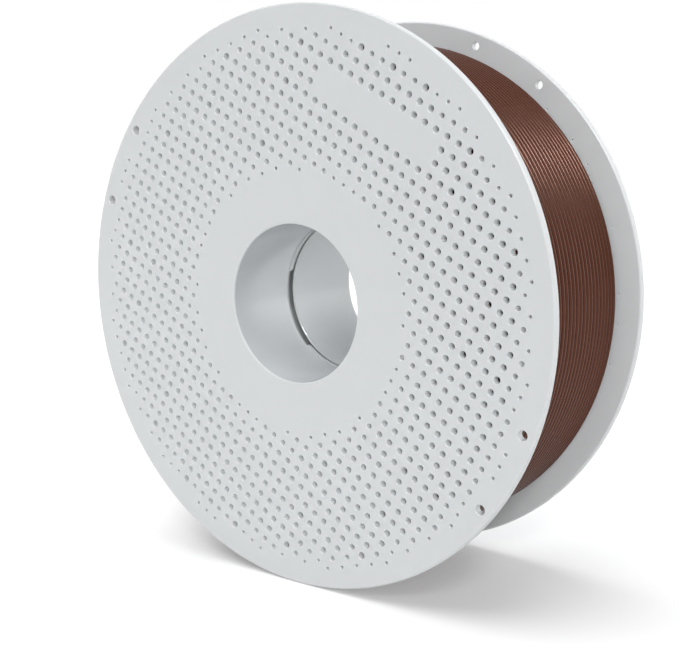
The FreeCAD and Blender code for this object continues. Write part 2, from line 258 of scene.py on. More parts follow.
class StageSettings(bpy.types.PropertyGroup):
    """Camera, floor and lamps."""

    camera_at: FloatVectorProperty(name="Camera", description="Place of the camera", unit="LENGTH",
                                   default=(0.2426, -0.3163, 0.0504), precision=4)
    azimuth: degrees("Azimuth", "Turn of the camera from +Y towards -X", 33.41)
    tilt: degrees("Tilt", "How far the camera looks down", 8.49)
    lens: FloatProperty(name="Lens", description="Focal length on a 36 mm sensor, in millimetres",
                        default=57.84, min=1.0)
    shift: FloatVectorProperty(name="Shift", description="Shift of the picture's middle", size=2,
                               default=(-0.1333, -0.0200))
    floor: colour("Floor", "White of the floor", "#DCDCDC")
    floor_glow: colour("Floor glow", "Grey light of the floor itself, even in shadow", "#7C7C7C")
    floor_bounce: colour("Floor bounce", "Grey that the floor throws back at the object", "#C4C4C4")
    zenith: colour("Ceiling", "Light of the studio from above", "#8E9092")
    walls: colour("Walls", "Light of the studio from the sides", "#8A8B8C")
    backdrop: colour("Backdrop", "Light of the white wall behind the object", "#F0F0F0")
    backdrop_light: strength("Backdrop light", "Strength of that wall's light", 2.1)
    key_light: strength("Key light", "Strength of the lamp in front", 0.6)
    key_spread: degrees("Key spread", "Apparent size of that lamp", 11.0)
    key_from: direction("Key from", "Direction towards that lamp", (0.50, -0.60, 0.62))
    glint_light: strength("Glint light", "Strength of that lamp's reflection", 4.0)
    fill_light: strength("Fill light", "Strength of the wide light in front", 1.72)
    fill_spread: degrees("Fill spread", "Apparent size of the wide light", 40.0)
    fill_from: direction("Fill from", "Direction towards the wide light", (0.60, -0.78, 0.18))
    top_light: strength("Top light", "Strength of the soft light overhead", 2.6)
    top_spread: degrees("Top spread", "Apparent size of the light overhead", 60.0)
    top_from: direction("Top from", "Direction towards the light overhead", (-0.20, -0.15, 0.97))
    back_light: strength("Back light", "Strength of the light from behind", 0.45)
    back_spread: degrees("Back spread", "Apparent size of the light behind", 30.0)
    back_from: direction("Back from", "Direction towards the light behind", (0.75, 0.62, 0.20))


def linear(hex_text):
    """An sRGB hex colour as linear RGBA."""
    channels = [int(hex_text[place:place + 2], 16) / 255 for place in (1, 3, 5)]
    return [c / 12.92 if c <= 0.04045 else ((c + 0.055) / 1.055) ** 2.4 for c in channels] + [1.0]


def add_node(tree, kind, inputs=None, **settings):
    """Add a node with its settings, and give its inputs values or links."""
    node = tree.nodes.new(kind)
    for name, value in settings.items():
        setattr(node, name, value)
    for name, value in (inputs or {}).items():
        if isinstance(value, bpy.types.NodeSocket):
            tree.links.new(value, node.inputs[name])
        else:
            node.inputs[name].default_value = value
    return node


def new_material(name):
    """An empty node material with its output node."""
    material = bpy.data.materials.new(name)
    material.use_nodes = True
    material.node_tree.nodes.clear()
    return material, material.node_tree


def per_metre(size_mm):
    """Texture scale for a grain of this size in millimetres."""
    return 1.0 / (size_mm * MM)


def seen_plainly(tree):
    """1 for the rays that show a background: the camera's, and those of metal and glass."""
    path = add_node(tree, "ShaderNodeLightPath").outputs
    mirrored = add_node(tree, "ShaderNodeMath",
                        {0: path["Is Glossy Ray"], 1: path["Is Transmission Ray"]},
                        operation="MAXIMUM")
    return add_node(tree, "ShaderNodeMath",
                    {0: path["Is Camera Ray"], 1: mirrored.outputs["Value"]},
                    operation="MAXIMUM").outputs["Value"]


def moulded_plastic(name, light, deep, roughness, grain_mm, bump_mm, gleam=0.5):
    """Injection moulded ABS, a little translucent: a faint grain and a slow drift of tone.

    The real grain is finer and is drawn as coarse as it needs to show.
    """
    material, tree = new_material(name)
    where = add_node(tree, "ShaderNodeTexCoord").outputs["Object"]
    drift = add_node(tree, "ShaderNodeTexNoise",
                     {"Vector": where, "Scale": per_metre(DRIFT_MM), "Detail": 2.0})
    tone = add_node(tree, "ShaderNodeMix",
                    {"Factor": drift.outputs["Fac"], "A": linear(light), "B": linear(deep)},
                    data_type="RGBA")
    grain = add_node(tree, "ShaderNodeTexNoise",
                     {"Vector": where, "Scale": per_metre(grain_mm), "Detail": 3.0})
    gloss = add_node(tree, "ShaderNodeMapRange",
                     {"Value": grain.outputs["Fac"], "To Min": roughness - 0.05,
                      "To Max": roughness + 0.05})
    bump = add_node(tree, "ShaderNodeBump",
                    {"Height": grain.outputs["Fac"], "Strength": 0.5, "Distance": bump_mm * MM})
    shader = add_node(tree, "ShaderNodeBsdfPrincipled",
                      {"Base Color": tone.outputs["Result"], "Roughness": gloss.outputs["Result"],
                       "Normal": bump.outputs["Normal"], "IOR": 1.53,
                       "Specular IOR Level": gleam,
                       "Subsurface Weight": 0.5, "Subsurface Radius": (1.0, 1.0, 1.0),
                       "Subsurface Scale": SPREAD_MM * MM})
    add_node(tree, "ShaderNodeOutputMaterial", {"Surface": shader.outputs["BSDF"]})
    return material


def extruded_filament(name, brown, pale):
    """PLA strand: drawn through a die, so its tone and gloss run in streaks along it."""
    material, tree = new_material(name)
    where = add_node(tree, "ShaderNodeTexCoord").outputs["Object"]
    streaks = add_node(tree, "ShaderNodeTexNoise",
                       {"Vector": where, "Scale": per_metre(STREAK_MM), "Detail": 3.0})
    tone = add_node(tree, "ShaderNodeMix",
                    {"Factor": streaks.outputs["Fac"], "A": linear(brown), "B": linear(pale)},
                    data_type="RGBA")
    grit = add_node(tree, "ShaderNodeTexNoise",
                    {"Vector": where, "Scale": per_metre(GRIT_MM), "Detail": 2.0})
    gloss = add_node(tree, "ShaderNodeMapRange",
                     {"Value": streaks.outputs["Fac"], "To Min": 0.26, "To Max": 0.32})
    bump = add_node(tree, "ShaderNodeBump",
                    {"Height": grit.outputs["Fac"], "Strength": 0.3, "Distance": 0.01 * MM})
    shader = add_node(tree, "ShaderNodeBsdfPrincipled",
                      {"Base Color": tone.outputs["Result"], "Roughness": gloss.outputs["Result"],
                       "Normal": bump.outputs["Normal"], "IOR": 1.5, "Specular IOR Level": 0.36,
                       "Specular Tint": (1.0, 0.60, 0.48, 1.0)})
    add_node(tree, "ShaderNodeOutputMaterial", {"Surface": shader.outputs["BSDF"]})
    return material


def extruded_tube(name, grey):
    """Extruded plastic tube: dull, with fine scores along the way that it left the die."""
    material, tree = new_material(name)
    where = add_node(tree, "ShaderNodeTexCoord").outputs["Object"]
    drawn = add_node(tree, "ShaderNodeMapping", {"Vector": where, "Scale": (1.0, 0.04, 1.0)})
    scores = add_node(tree, "ShaderNodeTexNoise",
                      {"Vector": drawn.outputs["Vector"], "Scale": per_metre(SCORE_MM),
                       "Detail": 3.0})
    bump = add_node(tree, "ShaderNodeBump",
                    {"Height": scores.outputs["Fac"], "Strength": 0.5, "Distance": 0.03 * MM})
    gloss = add_node(tree, "ShaderNodeMapRange",
                     {"Value": scores.outputs["Fac"], "To Min": 0.5, "To Max": 0.65})
    shader = add_node(tree, "ShaderNodeBsdfPrincipled",
                      {"Base Color": linear(grey), "Roughness": gloss.outputs["Result"],
                       "Normal": bump.outputs["Normal"], "IOR": 1.5})
    add_node(tree, "ShaderNodeOutputMaterial", {"Surface": shader.outputs["BSDF"]})
    return material


class Surface:
    """Points and faces of one mesh, gathered before the mesh is made."""

    def __init__(self):
        self.points = []
        self.faces = []
        self.smooth = []
        self.finish = []
        self.count = 0

    def add_points(self, points):
        """Add rows of points and give back their numbers in the same layout."""
        flat = np.asarray(points, float).reshape(-1, 3)
        numbers = np.arange(self.count, self.count + len(flat)).reshape(np.shape(points)[:-1])
        self.points.append(flat)
        self.count += len(flat)
        return numbers

    def add_faces(self, faces, smooth=True, finish=FINISH_SATIN):
        """Add faces of equal corner count, given as rows of point numbers."""
        rows = np.asarray(faces).tolist()
        self.faces += rows
        self.smooth += [smooth] * len(rows)
        self.finish += [finish] * len(rows)

    def join_loops(self, one, other, smooth=True, finish=FINISH_SATIN):
        """Quads between two closed loops, or between rows of loops."""
        one, other = np.atleast_2d(one), np.atleast_2d(other)
        quads = np.stack([one, np.roll(one, -1, 1), np.roll(other, -1, 1), other], -1)
        self.add_faces(quads.reshape(-1, 4), smooth, finish)

    def make(self, name, materials, sharp_degrees=30.0):
        """Make the object, with its normals outward."""
        mesh = bpy.data.meshes.new(name)
        mesh.from_pydata(np.concatenate(self.points).tolist(), [], self.faces)
        mesh.polygons.foreach_set("use_smooth", self.smooth)
        mesh.polygons.foreach_set("material_index", self.finish)
        for material in materials:
            mesh.materials.append(material)
        solid = bmesh.new()
        solid.from_mesh(mesh)
        bmesh.ops.recalc_face_normals(solid, faces=solid.faces)
        solid.to_mesh(mesh)
        solid.free()
        mesh.set_sharp_from_angle(angle=math.radians(sharp_degrees))
        made = bpy.data.objects.new(name, mesh)
        bpy.context.scene.collection.objects.link(made)
        return made


def ring(radius, along, steps):
    """A circle of points round the spool's axis."""
    angles = np.arange(steps) * 2 * math.pi / steps
    return np.stack([radius * np.cos(angles), np.full(steps, along), radius * np.sin(angles)], -1)


def rounded_path(corners, steps=5):
    """A line through (radius, along, rounding) corners, each rounded by an arc."""
    path = []
    for place, (radius, along, rounding) in enumerate(corners):
        here = Vector((radius, along))
        if rounding <= 0 or place in (0, len(corners) - 1):
            path.append(here)
            continue
        back = (Vector(corners[place - 1][:2]) - here).normalized()
        ahead = (Vector(corners[place + 1][:2]) - here).normalized()
        half = math.acos(max(-1.0, min(1.0, back.dot(ahead)))) / 2
        reach = rounding / math.tan(half)
        centre = here + (back + ahead).normalized() * (rounding / math.sin(half))
        start, end = here + back * reach - centre, here + ahead * reach - centre
        for step in range(steps + 1):
            mixed = start.lerp(end, step / steps).normalized()
            path.append(centre + mixed * rounding)
    return path


def lathe_strip(surface, path, steps, first=None, last=None, finish=FINISH_SATIN):
    """Turn a path about the axis. It may begin or end on loops that exist. Gives the loops back."""
    loops = []
    for place, point in enumerate(path):
        if place == 0 and first is not None:
            loops.append(first)
        elif place == len(path) - 1 and last is not None:
            loops.append(last)
        else:
            loops.append(surface.add_points(ring(point[0], point[1], steps)))
    for one, other in zip(loops, loops[1:]):
        surface.join_loops(one, other, finish=finish)
    return loops


def holed_plane(surface, loops, outer_loop):
    """Flat triangles between closed loops, where every loop but the outer one bounds a hole.

    loops are rows of point numbers, and all their points lie at one place along the axis.
    """
    points = np.concatenate(surface.points)
    numbers = np.concatenate([loop.ravel() for loop in loops])
    owner = np.concatenate([np.full(loop.size, place) for place, loop in enumerate(loops)])
    flat = [Vector((points[n][0], points[n][2])) for n in numbers]
    edges = []
    start = 0
    for loop in loops:
        edges += [(start + k, start + (k + 1) % loop.size) for k in range(loop.size)]
        start += loop.size
    _, _, triangles, source, _, _ = delaunay_2d_cdt(flat, edges, [], 0, 1e-9, True)
    first_source = np.array([sources[0] for sources in source])
    corners = first_source[np.array(triangles)]
    owners = owner[corners]
    same = (owners[:, 0] == owners[:, 1]) & (owners[:, 1] == owners[:, 2])
    kept = corners[~(same & (owners[:, 0] != outer_loop))]
    surface.add_faces(numbers[kept], smooth=False)


def hole_diameter(column, row, radius, settings):
    """Diameter of the hole at a lattice node: full in the band's middle and small at its edges."""
    if (abs(column), abs(row)) in LARGE_NODES:
        return settings.large_dia
    if radius < MIDDLE_BAND[0] or radius > MIDDLE_BAND[1]:
        return settings.small_dia
    if radius < FULL_BAND[0] or radius > FULL_BAND[1]:
        return settings.middle_dia
    return settings.full_dia


def lattice_holes(settings, plain_place, clips, outer):
    """Middle (x, z) and radius of every hole of a flange's perforation."""
    along = Vector((math.cos(settings.turn), math.sin(settings.turn)))
    across = Vector((-along.y, along.x))
    reach = int(settings.outer / settings.pitch) + 1
    holes = []
    for column in range(-reach, reach + 1):
        for row in range(-reach, reach + 1):
            middle = (along * column + across * row) * settings.pitch
            if not settings.inner <= middle.length <= outer:
                continue
            if plain_place and row in PLAIN_ROWS and abs(column) <= PLAIN_COLUMNS:
                continue
            radius = hole_diameter(column, row, middle.length, settings) / 2
            near = min((middle - clip).length for clip in clips)
            if near > radius + settings.clip_dia / 2 + 2 * settings.edge + HOLE_GAP:
                holes.append((middle, radius))
    return holes


def clip_middles(settings, axis_angle):
    """Middles of the two pairs of clip holes, on opposite sides of the axis."""
    middles = []
    for opposite in (0.0, math.pi):
        for side in (-0.5, 0.5):
            angle = axis_angle + opposite + side * settings.clip_spread
            middles.append(Vector((math.cos(angle), math.sin(angle))) * settings.clip_radius)
    return middles


def hole_rings(middles, radii, along, sides):
    """Loops of points round holes, all at one place along the axis."""
    angles = np.arange(sides) * 2 * math.pi / sides
    middles = np.array([(m.x, m.y) for m in middles])[:, None, :]
    radii = np.asarray(radii)[:, None]
    x = middles[..., 0] + radii * np.cos(angles)
    z = middles[..., 1] + radii * np.sin(angles)
    return np.stack([x, np.full(x.shape, along), z], -1)


def cut_holes(surface, holes, face, inner_face, edge, sides, draft=0.0, blind_depth=None):
    """Walls of holes with broken edges. Gives the loops on the outer and on the inner face."""
    middles = [middle for middle, _ in holes]
    radii = np.array([radius for _, radius in holes])
    inward = 1 if inner_face > face else -1
    wide = surface.add_points(hole_rings(middles, radii + edge, face, sides))
    neck = surface.add_points(hole_rings(middles, radii, face + inward * edge, sides))
    surface.join_loops(wide, neck)
    if blind_depth is not None:
        floor = surface.add_points(
            hole_rings(middles, radii * BLIND_TAPER, face + inward * blind_depth, sides))
        surface.join_loops(neck, floor)
        surface.add_faces(floor, smooth=False)
        return wide, None
    narrow = radii - np.minimum(draft, radii / 2)
    end = surface.add_points(hole_rings(middles, narrow, inner_face - inward * edge, sides))
    mouth = surface.add_points(hole_rings(middles, narrow + edge, inner_face, sides))
    surface.join_loops(neck, end)
    surface.join_loops(end, mouth)
    return wide, mouth


def half_moulding(name, side, materials, clip_angle, bore_end, sleeve_mouth=None):
    """One half of the spool: perforated flange with rim, bore tube, any sleeve, and half hub.

    bore_end has the (radius, along, rounding) corners of the bore tube's end, out to its outside.
    """
    scene = bpy.context.scene
    sizes, pattern = scene.spool_moulding, scene.spool_perforation
    face = HALF_WIDTH * side
    inner_face = face - sizes.panel * side
    surface = Surface()

    clips = clip_middles(pattern, clip_angle + pattern.clip_turn)
    front = side == FRONT
    holes = lattice_holes(pattern, front, clips, pattern.outer if front else pattern.rear_outer)
    over_hub = sizes.hub_radius + pattern.edge * 2
    blind = [hole for hole in holes if hole[0].length - hole[1] < over_hub]
    through = [hole for hole in holes if hole[0].length - hole[1] >= over_hub]
    clip_list = [(clip, pattern.clip_dia / 2) for clip in clips]
    blind_out, _ = cut_holes(surface, blind, face, inner_face, pattern.edge, pattern.sides,
                             blind_depth=pattern.blind_depth)
    large = [hole for hole in through if hole[1] > pattern.full_dia / 2]
    plain = [hole for hole in through if hole[1] <= pattern.full_dia / 2]
    plain_out, plain_in = cut_holes(surface, plain, face, inner_face, pattern.edge,
                                    pattern.sides, pattern.draft)
    large_out, large_in = cut_holes(surface, large, face, inner_face, pattern.edge,
                                    pattern.sides, pattern.large_draft)
    clip_out, clip_in = cut_holes(surface, clip_list, face, inner_face, pattern.edge, CLIP_SIDES,
                                  pattern.draft / 2)

    rim_path = rounded_path([
        (FLANGE_R - sizes.rim_round * RIM_FLAT, face, 0),
        (FLANGE_R, face, sizes.rim_round),
        (FLANGE_R, inner_face, sizes.rim_round),
        (FLANGE_R - sizes.rim_round * RIM_FLAT, inner_face, 0),
    ], steps=8)
    rim_loops = lathe_strip(surface, rim_path, RING_STEPS)

    tube = BORE_R + sizes.tube_wall
    hub_in = sizes.hub_radius - sizes.hub_wall
    hub_end = sizes.hub_gap / 2 * side
    mouth = sizes.mouth_round
    polished_from = face - 2 * mouth * side
    mouth_loops = lathe_strip(surface, rounded_path([
        (BORE_R + mouth * MOUTH_FLAT, face, 0),
        (BORE_R, face, mouth),
        (BORE_R, polished_from, 0),
    ]), RING_STEPS)
    bore_loops = lathe_strip(surface, rounded_path([
        (BORE_R, polished_from, 0),
        *bore_end,
        (tube, inner_face, 0),
    ], steps=6), RING_STEPS, first=mouth_loops[-1], finish=FINISH_POLISHED_SHADED)
    inside = [(tube, inner_face, 0)]
    if sleeve_mouth is not None:
        sleeve = tube + sizes.lug_height + sizes.slip
        sleeve_out = sleeve + sizes.tube_wall
        inside += [(sleeve, inner_face, 0), (sleeve, sleeve_mouth, FINE_ROUND),
                   (sleeve_out, sleeve_mouth, FINE_ROUND), (sleeve_out, inner_face, SOFT_ROUND)]
    inside += [
        (hub_in, inner_face, SOFT_ROUND),
        (hub_in, hub_end, FINE_ROUND),
        (sizes.hub_radius, hub_end, SOFT_ROUND),
        (sizes.hub_radius, inner_face, 0),
    ]
    hub_loops = lathe_strip(surface, rounded_path(inside), RING_STEPS, first=bore_loops[-1])

    outer_face = [rim_loops[0], mouth_loops[0], *blind_out, *plain_out, *large_out, *clip_out]
    holed_plane(surface, outer_face, outer_loop=0)
    back_face = [rim_loops[-1], hub_loops[-1], *plain_in, *large_in, *clip_in]
    holed_plane(surface, back_face, outer_loop=0)
    thicken_rim(surface, face, sizes)
    return surface.make(name, materials)


def thicken_rim(surface, face, sizes):
    """Let the flange grow gently from the panel's thickness to the rim's."""
    start = FLANGE_R - sizes.rim_round - sizes.rim_slope
    for points in surface.points:
        share = np.clip((np.hypot(points[:, 0], points[:, 2]) - start) / sizes.rim_slope, 0.0, 1.0)
        grown = 1 + (sizes.rim / sizes.panel - 1) * share * share * (3 - 2 * share)
        points[:, 1] = face + (points[:, 1] - face) * grown


def add_sector(surface, section, middle, span, steps, reshape=None):
    """A closed (radius, along) section swept round part of a turn, with capped ends.

    The steps lie closer together near the ends. reshape(section, share) may change the section.
    """
    loops = []
    for step in range(steps + 1):
        share = 0.5 - 0.5 * math.cos(math.pi * step / steps)
        angle = middle + (share - 0.5) * span
        shape = section if reshape is None else reshape(section, share)
        loops.append(surface.add_points([
            (radius * math.cos(angle), along, radius * math.sin(angle))
            for radius, along in shape]))
    for one, other in zip(loops, loops[1:]):
        surface.join_loops(one, other)
    surface.add_faces([loops[0], loops[-1]], smooth=False)


def rounded_box(inner, outer, low, high, rounding=0.25 * MM):
    """A rectangular section with small arcs at its corners, as (radius, along) points."""
    corners = [(inner, low), (outer, low), (outer, high), (inner, high)]
    points = []
    for place, corner in enumerate(corners):
        here = Vector(corner)
        back = (Vector(corners[place - 1]) - here).normalized()
        ahead = (Vector(corners[(place + 1) % len(corners)]) - here).normalized()
        centre = here + (back + ahead) * rounding
        for step in range(CORNER_STEPS + 1):
            mixed = (-ahead).lerp(-back, step / CORNER_STEPS).normalized()
            points.append(centre + mixed * rounding)
    return [tuple(point) for point in points]


def evenly(count):
    """Angles of copies spaced evenly round the axis."""
    return [2 * math.pi * copy / count for copy in range(count)]


def lock_lugs(name, sizes, radii, span_y, middle, materials):
    """The bayonet lugs of one half."""
    surface = Surface()
    for turn in evenly(sizes.lugs):
        section = rounded_box(*radii, *span_y)
        add_sector(surface, section, middle + turn, sizes.lug_span, LUG_STEPS)
    return surface.make(name, materials)


def webs(name, sizes, radii, span_y, materials):
    """Flat radial webs between the tube and the hub."""
    surface = Surface()
    (inner, outer), (low, high) = radii, span_y
    half = sizes.rib_thick / 2
    for turn in evenly(sizes.ribs):
        radial = np.array((math.cos(turn), 0, math.sin(turn)))
        sideways = np.array((-math.sin(turn), 0, math.cos(turn)))
        loops = []
        for thick, inset in ((-half, WEB_EDGE), (-half + WEB_EDGE, 0),
                             (half - WEB_EDGE, 0), (half, WEB_EDGE)):
            corners = [(inner, low + inset), (outer, low + inset),
                       (outer, high - inset), (inner, high - inset)]
            loops.append(surface.add_points([
                radial * radius + sideways * thick + np.array((0, along, 0))
                for radius, along in corners]))
        for one, other in zip(loops, loops[1:]):
            surface.join_loops(one, other, smooth=False)
        surface.add_faces([loops[0], loops[-1]], smooth=False)
    return surface.make(name, materials)


def bore_tabs(name, sizes, tube_end, materials):
    """Tabs opposite the lugs, which carry the bore's wall on through its opened end."""
    surface = Surface()
    inner = BORE_R + sizes.tab_inset
    outer = BORE_R + sizes.tube_wall - BITE
    section = rounded_box(inner, outer, tube_end - sizes.tab_width, tube_end, TAB_ROUND)

    def ease_ends(points, share):
        """Round the tab's two ends off towards the opened wall."""
        near = min(share, 1.0 - share) / TAB_END
        drop = 0.0 if near >= 1 else 1.0 - math.sqrt(max(0.0, 1.0 - (1.0 - near) ** 2))
        depth = drop * sizes.relief_depth * TAB_DROP
        return [(min(outer, radius + depth), along) for radius, along in points]

    for turn in evenly(sizes.lugs):
        add_sector(surface, section, sizes.lug_first + turn, sizes.tab_span, TAB_STEPS, ease_ends)
    return surface.make(name, materials)


def turned(name, path, steps, materials, sharp_degrees=30.0):
    """A ring-shaped piece turned from a closed path of (radius, along) points."""
    surface = Surface()
    loops = [surface.add_points(ring(radius, along, steps)) for radius, along in path]
    for one, other in zip(loops, loops[1:] + loops[:1]):
        surface.join_loops(one, other)
    return surface.make(name, materials, sharp_degrees)


def strand_path(radius, half, pitch, steps, wander, seed, hand=1):
    """Points along a wound layer: a helix whose turns stray a little along the axis."""
    chance = random.Random(seed)
    turns = int(2 * (2 * half / pitch)) / 2
    stray = [chance.uniform(-wander, wander) for _ in range((int(turns) + 2) * STRAYS)]
    points = []
    for step in range(int(turns * steps) + 1):
        turn = step / steps
        place = turn * STRAYS
        low = int(place)
        share = place - low
        ease = share * share * (3 - 2 * share)
        along = (turn - turns / 2) * pitch + stray[low] * (1 - ease) + stray[low + 1] * ease
        angle = hand * 2 * math.pi * (turn - turns / 2)
        points.append((radius * math.cos(angle), along, -radius * math.sin(angle)))
    return np.array(points)


def strand_tube(name, points, radius, sides, materials):
    """A round strand along points that wind about the axis, closed at both ends."""
    tangents = np.gradient(points, axis=0)
    tangents /= np.linalg.norm(tangents, axis=1)[:, None]
    outward = points * (1, 0, 1)
    outward /= np.linalg.norm(outward, axis=1)[:, None]
    sideways = np.cross(tangents, outward)
    angles = np.arange(sides) * 2 * math.pi / sides
    section = (outward[:, None, :] * np.cos(angles)[None, :, None]
               + sideways[:, None, :] * np.sin(angles)[None, :, None]) * radius
    surface = Surface()
    loops = surface.add_points(points[:, None, :] + section)
    surface.join_loops(loops[:-1], loops[1:])
    surface.add_faces([loops[0], loops[-1]], smooth=False)
    return surface.make(name, materials, STRAND_SHARP)


def seam_edges(sizes):
    """Where the front and the rear bore tubes end."""
    front = -(sizes.seam_shift + sizes.seam_gap / 2)
    rear = -(sizes.seam_shift - sizes.seam_gap / 2)
    return front, rear


def moulding_materials():
    """Satin and polished finishes, made once and shared by both halves.

    The bore is moulded round a polished pin, so its wall mirrors the room softly; its darker grey
    is painted shade.
    """
    sizes = bpy.context.scene.spool_moulding
    satin = bpy.data.materials.get("moulded_abs_satin") or moulded_plastic(
        "moulded_abs_satin", sizes.plastic, sizes.plastic_deep,
        roughness=0.42, grain_mm=0.5, bump_mm=0.02)
    # Real polish, with a darker grey that is painted shade inside the bore
    polished = bpy.data.materials.get("moulded_abs_polished_shaded") or moulded_plastic(
        "moulded_abs_polished_shaded", sizes.polished, sizes.polished,
        roughness=0.16, grain_mm=2.0, bump_mm=0.004, gleam=1.0)
    return [satin, polished]


def assign(piece, body, slot, *nodes):
    """Let a piece ride on its body and stand for CAD nodes, which it hides. The slot is not used.
    """
    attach(piece, body)
    if nodes:
        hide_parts(*nodes)
    return piece


class SPOOL_OT_front_moulding(bpy.types.Operator):
    """Build the front half: flange, bore tube, lugs, tabs and webs"""

    bl_idname = "spool.front_moulding"
    bl_label = "Front moulding"

    def execute(self, context):
        sizes = context.scene.spool_moulding
        pattern = context.scene.spool_perforation
        materials = moulding_materials()
        tube_end, _ = seam_edges(sizes)
        tube = BORE_R + sizes.tube_wall
        bore_end = [(BORE_R, tube_end - sizes.relief_bend, sizes.relief_round),
                    (BORE_R + sizes.relief_depth, tube_end, TIP_ROUND),
                    (tube, tube_end, FINE_ROUND)]
        half = half_moulding("front_moulding", FRONT, materials, pattern.turn, bore_end)
        assign(half, "front", "front_moulding", "front_half")
        low = SLEEVE_MOUTH + sizes.lug_thick + sizes.lug_play
        lugs = lock_lugs("front_lock_lugs", sizes, (tube - BITE, tube + sizes.lug_height),
                         (low, low + sizes.lug_thick), sizes.lug_first, materials)
        assign(lugs, "front", "front_moulding")
        tabs = bore_tabs("front_bore_tabs", sizes, tube_end, [materials[FINISH_POLISHED_SHADED]])
        assign(tabs, "front", "front_moulding")
        panel_in = -(HALF_WIDTH - sizes.panel)
        ribs = webs("front_webs", sizes,
                    (tube - BITE, sizes.hub_radius - sizes.hub_wall + BITE),
                    (panel_in - BITE, SLEEVE_MOUTH - WEB_INSET), materials)
        assign(ribs, "front", "front_moulding")
        return {"FINISHED"}


class SPOOL_OT_rear_moulding(bpy.types.Operator):
    """Build the rear half: flange, bore tube, locking sleeve with its lugs, and webs"""

    bl_idname = "spool.rear_moulding"
    bl_label = "Rear moulding"

    def execute(self, context):
        sizes = context.scene.spool_moulding
        pattern = context.scene.spool_perforation
        materials = moulding_materials()
        _, tube_end = seam_edges(sizes)
        tube = BORE_R + sizes.tube_wall
        bore_end = [(BORE_R, tube_end, FINE_ROUND), (BORE_R + sizes.lip, tube_end, LIP_ROUND),
                    (tube, tube_end + sizes.lead_in, LEAD_ROUND)]
        half = half_moulding("rear_moulding", REAR, materials, pattern.turn + math.pi / 2, bore_end,
                             SLEEVE_MOUTH)
        assign(half, "rear", "rear_moulding", "rear_half")
        sleeve = tube + sizes.lug_height + sizes.slip
        lugs = lock_lugs("rear_lock_lugs", sizes, (sleeve - sizes.lug_height, sleeve + BITE),
                         (SLEEVE_MOUTH, SLEEVE_MOUTH + sizes.lug_thick),
                         sizes.lug_first + sizes.lock_turn, materials)
        assign(lugs, "rear", "rear_moulding")
        ribs = webs("rear_webs", sizes,
                    (sleeve + sizes.tube_wall - BITE, sizes.hub_radius - sizes.hub_wall + BITE),
                    (sizes.hub_gap / 2 + WEB_INSET, HALF_WIDTH - sizes.panel + BITE), materials)
        assign(ribs, "rear", "rear_moulding")
        return {"FINISHED"}


class SPOOL_OT_refill_core(bpy.types.Operator):
    """Build the plain tube that the filament is wound on"""

    bl_idname = "spool.refill_core"
    bl_label = "Refill core"

    def execute(self, context):
        winding = context.scene.spool_winding
        inner = CORE_R - winding.core_wall
        corners = [(radius, along, FINE_ROUND) for radius, along in (
            (inner, -CORE_HALF), (CORE_R, -CORE_HALF), (CORE_R, CORE_HALF), (inner, CORE_HALF))]
        path = rounded_path([corners[-1], *corners, corners[0]], steps=3)[1:-1]
        tube = turned("refill_tube", path, CORE_STEPS,
                      [extruded_tube("extruded_core_tube", winding.core)])
        assign(tube, "refill", "core_tube", "refill_core")
        return {"FINISHED"}


class SPOOL_OT_filament(bpy.types.Operator):
    """Wind the filament: a ribbed pack, the layer under the outer one, and the outer layer"""

    bl_idname = "spool.filament"
    bl_label = "Wound filament"

    def execute(self, context):
        winding = context.scene.spool_winding
        materials = [extruded_filament("extruded_pla_matte", winding.filament,
                                       winding.filament_pale)]
        radius = winding.strand / 2
        outer = WOUND_R - radius
        reach = WOUND_HALF - radius
        layer = strand_tube(
            "filament_outer_turns",
            strand_path(outer, reach, winding.pitch, winding.steps, winding.wander, winding.seed),
            radius, OUTER_SIDES, materials)
        assign(layer, "refill", "filament", "filament_outer_layer")
        under = strand_tube(
            "filament_under_turns",
            strand_path(outer - winding.layer, reach, winding.pitch, UNDER_STEPS, winding.wander,
                        winding.seed + 1, hand=-1),
            radius, UNDER_SIDES, materials)
        assign(under, "refill", "filament")
        pack = self.pack(winding, outer - winding.layer * PACK_DEPTH, materials)
        assign(pack, "refill", "filament", "filament_pack")
        return {"FINISHED"}

    def pack(self, winding, outer, materials):
        """The deeper layers as one turned ring, whose sides show the strand of every layer."""
        count = int((outer - CORE_R) / winding.layer)
        height = (outer - CORE_R) / count
        half = WOUND_HALF - winding.strand / 2
        path = []
        for side in (-1, 1):
            bumps = range(count) if side < 0 else range(count - 1, -1, -1)
            for bump in bumps:
                for step in range(BUMP_STEPS):
                    share = step / BUMP_STEPS
                    swing = math.pi * (share if side < 0 else 1 - share)
                    path.append((CORE_R + height * (bump + 0.5 - 0.5 * math.cos(swing)),
                                 side * (half + winding.strand / 2 * math.sin(swing))))
        return turned("filament_pack_layers", path, PACK_STEPS, materials, STRAND_SHARP)


